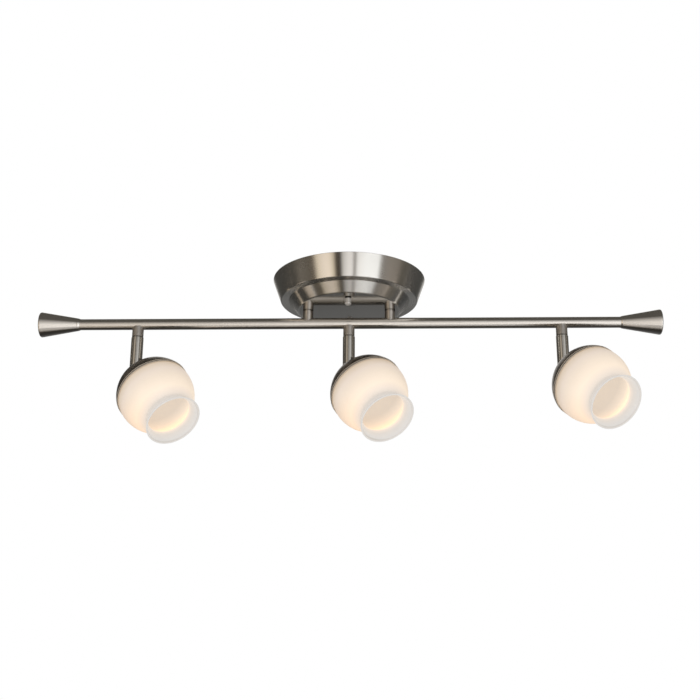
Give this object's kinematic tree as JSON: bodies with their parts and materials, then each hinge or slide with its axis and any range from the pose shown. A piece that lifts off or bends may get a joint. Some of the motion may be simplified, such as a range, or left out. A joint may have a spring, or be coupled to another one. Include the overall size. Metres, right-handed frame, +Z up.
{
  "type": "ceiling track light",
  "caption": "Ceiling light: a round bar with flared ends under a stepped canopy, carrying opal glass spot heads that swivel and tilt.",
  "frame": {"origin": "centre of the top face of the mounting crossbar, in the plane of the ceiling", "axes": "+X along the bar towards the end with the right head, +Z up into the ceiling, the heads aim down towards +X and -Y"},
  "size_m": [0.711, 0.1802, 0.2002],
  "materials": {
    "brushed_nickel": "brushed nickel plate, satin, fine turned grain",
    "dark_nickel": "brushed nickel plate that reflects the dark of the room, satin",
    "zinc_steel": "zinc plated steel",
    "nylon": "black nylon",
    "ceramic": "unglazed white ceramic",
    "bulb_glass": "frosted lamp glass, lit",
    "opal_glass": "satin opal glass, warm white, lit from inside",
    "black_wire": "black insulation",
    "white_wire": "white insulation",
    "orange_plastic": "orange moulded plastic",
    "green_screw": "green passivated steel"
  },
  "bodies": {
    "fixture": {"canopy": "brushed_nickel", "mounting_crossbar": "zinc_steel", "ground_screw": "green_screw", "bar_tube": "brushed_nickel", "end_cap_left": "brushed_nickel", "end_cap_right": "brushed_nickel", "feed_wire_line": "black_wire", "bar_wire_line": "black_wire", "feed_wire_neutral": "white_wire", "bar_wire_neutral": "white_wire", "wire_connector_line": "orange_plastic", "wire_connector_neutral": "orange_plastic", "mounting_stud_1": "zinc_steel", "stud_lock_nut_1": "zinc_steel", "cap_nut_1": "brushed_nickel", "post_1": "brushed_nickel", "post_nipple_1": "zinc_steel", "post_lock_nut_1": "zinc_steel", "mounting_stud_2": "zinc_steel", "stud_lock_nut_2": "zinc_steel", "cap_nut_2": "brushed_nickel", "post_2": "brushed_nickel", "post_nipple_2": "zinc_steel", "post_lock_nut_2": "zinc_steel", "collar_left": "brushed_nickel", "swivel_nipple_left": "zinc_steel", "collar_middle": "brushed_nickel", "swivel_nipple_middle": "zinc_steel", "collar_right": "brushed_nickel", "swivel_nipple_right": "zinc_steel"},
    "stem_left": {"stem_left": "brushed_nickel", "swivel_washer_left": "nylon", "tilt_screw_left": "zinc_steel"},
    "head_left": {"back_cup_left": "dark_nickel", "knuckle_left": "brushed_nickel", "shade_ring_left": "brushed_nickel", "lamp_holder_left": "ceramic", "bulb_left": "bulb_glass", "glass_shade_left": "opal_glass"},
    "stem_middle": {"stem_middle": "brushed_nickel", "swivel_washer_middle": "nylon", "tilt_screw_middle": "zinc_steel"},
    "head_middle": {"back_cup_middle": "dark_nickel", "knuckle_middle": "brushed_nickel", "shade_ring_middle": "brushed_nickel", "lamp_holder_middle": "ceramic", "bulb_middle": "bulb_glass", "glass_shade_middle": "opal_glass"},
    "stem_right": {"stem_right": "brushed_nickel", "swivel_washer_right": "nylon", "tilt_screw_right": "zinc_steel"},
    "head_right": {"back_cup_right": "dark_nickel", "knuckle_right": "brushed_nickel", "shade_ring_right": "brushed_nickel", "lamp_holder_right": "ceramic", "bulb_right": "bulb_glass", "glass_shade_right": "opal_glass"}
  },
  "joints": [
    {"name": "swivel_left", "type": "hinge", "parent": "fixture", "child": "stem_left", "pos_m": [-0.242, 0, -0.0673], "axis": [0, 0, 1], "range_deg": [-175, 175]},
    {"name": "tilt_left", "type": "hinge", "parent": "stem_left", "child": "head_left", "pos_m": [-0.242, 0, -0.1019], "axis": [-0.6428, -0.766, 0], "range_deg": [-42.5, 37.5]},
    {"name": "swivel_middle", "type": "hinge", "parent": "fixture", "child": "stem_middle", "pos_m": [0, 0, -0.0673], "axis": [0, 0, 1], "range_deg": [-175, 175]},
    {"name": "tilt_middle", "type": "hinge", "parent": "stem_middle", "child": "head_middle", "pos_m": [0, 0, -0.1019], "axis": [-0.788, -0.6157, 0], "range_deg": [-42, 38]},
    {"name": "swivel_right", "type": "hinge", "parent": "fixture", "child": "stem_right", "pos_m": [0.242, 0, -0.0673], "axis": [0, 0, 1], "range_deg": [-175, 175]},
    {"name": "tilt_right", "type": "hinge", "parent": "stem_right", "child": "head_right", "pos_m": [0.242, 0, -0.1019], "axis": [-0.8572, -0.515, 0], "range_deg": [-51.5, 28.5]}
  ]
}
